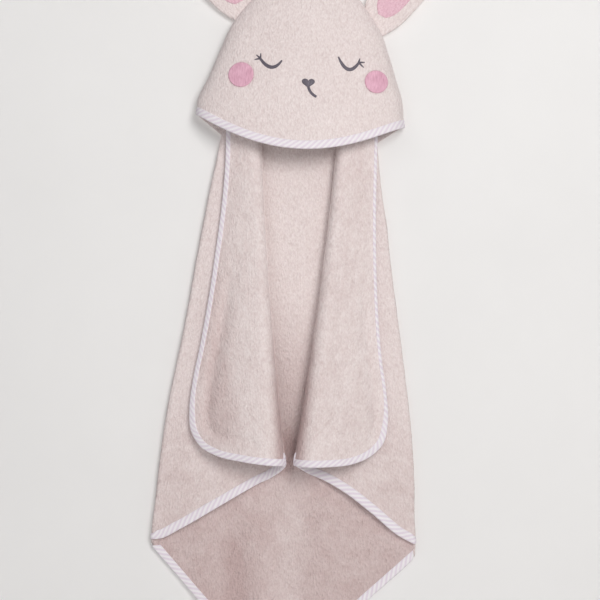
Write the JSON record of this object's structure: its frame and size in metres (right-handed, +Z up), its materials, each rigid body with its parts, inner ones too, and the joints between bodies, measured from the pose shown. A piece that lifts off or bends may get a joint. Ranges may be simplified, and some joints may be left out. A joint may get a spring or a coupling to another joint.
{
  "type": "hooded baby towel",
  "caption": "Hooded terry baby towel with a rabbit-face hood and ears, hanging by its loop, sides folded in and turned back, edges bound in striped tape.",
  "frame": {"origin": "where a hook bears, at the inside top of the hanging loop", "axes": "+Z up, +X to the right as seen from the front, +Y towards the wall behind the towel"},
  "size_m": [0.3969, 0.0654, 1.0753],
  "materials": {
    "terry": "matte",
    "bias_tape": "matte",
    "ear_pink": "matte",
    "cheek_pink": "matte",
    "dark_thread": "satin",
    "label_tape": "satin"
  },
  "bodies": {
    "towel": {"back_panel": "terry", "bottom_binding": "bias_tape", "hanging_loop": "bias_tape"},
    "left_wing": {"left_side_panel": "terry", "left_side_binding": "bias_tape"},
    "right_wing": {"right_side_panel": "terry", "right_side_binding": "bias_tape"},
    "left_turnback": {"left_flap": "terry", "left_flap_binding": "bias_tape"},
    "right_turnback": {"right_flap": "terry", "right_flap_binding": "bias_tape"},
    "hood": {"hood_panel": "terry", "hood_binding": "bias_tape", "left_eye": "dark_thread", "left_lashes": "dark_thread", "right_eye": "dark_thread", "right_lashes": "dark_thread", "nose": "dark_thread", "smile": "dark_thread", "left_cheek": "cheek_pink", "right_cheek": "cheek_pink"},
    "left_ear": {"left_ear_front": "terry", "left_ear_back": "terry", "left_ear_lining": "ear_pink"},
    "right_ear": {"right_ear_front": "terry", "right_ear_back": "terry", "right_ear_lining": "ear_pink"},
    "label": {"care_label": "label_tape"}
  },
  "joints": [
    {"name": "left_wing_open", "type": "hinge", "parent": "towel", "child": "left_wing", "pos_m": [-0.11, -0.0009, -0.302], "axis": [-0.1253, 0, -0.9921], "range_deg": [0, 100]},
    {"name": "right_wing_open", "type": "hinge", "parent": "towel", "child": "right_wing", "pos_m": [0.107, -0.0009, -0.302], "axis": [-0.1472, 0, 0.9891], "range_deg": [0, 100]},
    {"name": "left_turnback_lift", "type": "hinge", "parent": "left_wing", "child": "left_turnback", "pos_m": [-0.066, -0.0138, -0.306], "axis": [-0.0921, 0.0351, 0.9951], "range_deg": [0, 70]},
    {"name": "right_turnback_lift", "type": "hinge", "parent": "right_wing", "child": "right_turnback", "pos_m": [0.063, -0.0138, -0.306], "axis": [-0.0484, -0.0352, -0.9982], "range_deg": [0, 70]},
    {"name": "hood_mouth_open", "type": "hinge", "parent": "towel", "child": "hood", "pos_m": [0, -0.0006, -0.042], "axis": [-1, 0, 0], "range_deg": [0, 14]},
    {"name": "left_ear_flop", "type": "hinge", "parent": "towel", "child": "left_ear", "pos_m": [-0.089, -0.0006, -0.126], "axis": [0.5855, 0, 0.8107], "range_deg": [0, 70]},
    {"name": "right_ear_flop", "type": "hinge", "parent": "towel", "child": "right_ear", "pos_m": [0.089, -0.0006, -0.126], "axis": [0.5855, 0, -0.8107], "range_deg": [0, 70]},
    {"name": "label_flip", "type": "hinge", "parent": "towel", "child": "label", "pos_m": [0.07941, 0.0014, -0.99523], "axis": [0.7108, 0, 0.7034], "range_deg": [0, 90]}
  ]
}
